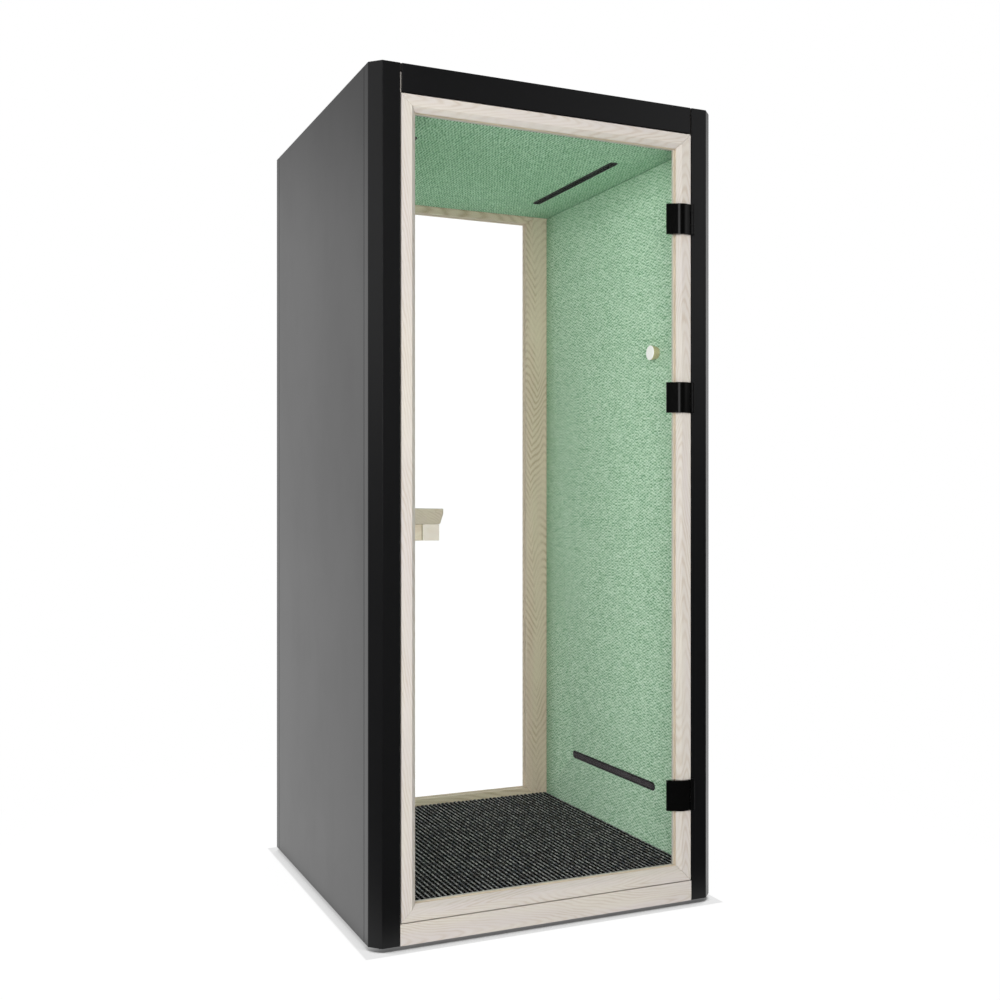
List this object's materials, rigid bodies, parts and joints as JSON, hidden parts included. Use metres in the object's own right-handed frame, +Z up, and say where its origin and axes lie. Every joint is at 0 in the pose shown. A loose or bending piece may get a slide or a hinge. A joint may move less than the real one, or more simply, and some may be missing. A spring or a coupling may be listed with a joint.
{
  "type": "acoustic office pod",
  "caption": "Single-person office booth: black corner posts and side panels, green fabric lining, glazed wooden door on hinges, fixed rear window, wall desk, coat peg and roof fans.",
  "frame": {"origin": "on the floor under the middle of the pod's plan", "axes": "+Z up; +Y from the door to the rear window; +X towards the hinge side of the door"},
  "size_m": [1, 1.0125, 2.2],
  "materials": {
    "black_lacquer": "satin near-black lacquer on board",
    "pale_wood": "pale close-grained wood, clear matt lacquer",
    "deck_board": "raw plywood, hidden",
    "carpet_pile": "ribbed charcoal carpet with pale flecks",
    "green_fabric": "coarse woven mint-green wool",
    "wool_core": "pressed fibre board, hidden",
    "clear_glass": "clear safety glass",
    "dark_rubber": "dark moulded rubber",
    "black_metal": "gloss black coated metal",
    "bare_steel": "plain steel",
    "black_plastic": "matt black moulded plastic"
  },
  "bodies": {
    "cabin": {"corner_post_front_left": "black_lacquer", "corner_post_front_right": "black_lacquer", "corner_post_rear_left": "black_lacquer", "corner_post_rear_right": "black_lacquer", "side_panel_left": "black_lacquer", "side_panel_right": "black_lacquer", "roof_panel": "black_lacquer", "front_fascia": "black_lacquer", "rear_fascia": "black_lacquer", "header_board": "pale_wood", "front_plinth": "pale_wood", "rear_plinth": "pale_wood", "rear_stile_left": "pale_wood", "rear_stile_right": "pale_wood", "rear_rail_bottom": "pale_wood", "rear_rail_top": "pale_wood", "desk_top": "pale_wood", "desk_beam": "pale_wood", "desk_bracket_front": "pale_wood", "desk_bracket_rear": "pale_wood", "coat_peg": "pale_wood", "base_deck": "deck_board", "carpet": "carpet_pile", "wall_lining_left": "green_fabric", "wall_lining_right": "green_fabric", "ceiling_lining": "green_fabric", "acoustic_core_left": "wool_core", "acoustic_core_right": "wool_core", "rear_glass": "clear_glass", "floor_runner_left": "dark_rubber", "floor_runner_right": "dark_rubber", "rear_gasket": "dark_rubber", "door_seal": "dark_rubber", "hinge_leaf_upper": "black_metal", "hinge_leaf_middle": "black_metal", "hinge_leaf_lower": "black_metal", "hinge_pin_upper": "bare_steel", "hinge_pin_middle": "bare_steel", "hinge_pin_lower": "bare_steel", "catch_magnet": "bare_steel", "wall_grille": "black_plastic", "ceiling_grille_left": "black_plastic", "ceiling_grille_right": "black_plastic", "fan_housing_left": "black_plastic", "fan_housing_right": "black_plastic", "fan_driver": "black_plastic", "power_inlet": "black_plastic"},
    "door": {"door_stile_hinge": "pale_wood", "door_stile_lock": "pale_wood", "door_rail_bottom": "pale_wood", "door_rail_top": "pale_wood", "door_glass": "clear_glass", "door_gasket": "dark_rubber", "strike_plate": "bare_steel", "hinge_strap_upper": "black_metal", "hinge_strap_middle": "black_metal", "hinge_strap_lower": "black_metal"},
    "fan_left": {"fan_rotor_left": "black_plastic"},
    "fan_right": {"fan_rotor_right": "black_plastic"}
  },
  "joints": [
    {"name": "door_hinge", "type": "hinge", "parent": "cabin", "child": "door", "pos_m": [0.4235, -0.5065, 1.1], "axis": [0, 0, 1], "range_deg": [0, 110]},
    {"name": "fan_left_spin", "type": "hinge", "parent": "cabin", "child": "fan_left", "pos_m": [-0.309, -0.012, 2.16], "axis": [0, 0, 1], "continuous": true},
    {"name": "fan_right_spin", "type": "hinge", "parent": "cabin", "child": "fan_right", "pos_m": [0.309, -0.012, 2.16], "axis": [0, 0, 1], "continuous": true}
  ]
}
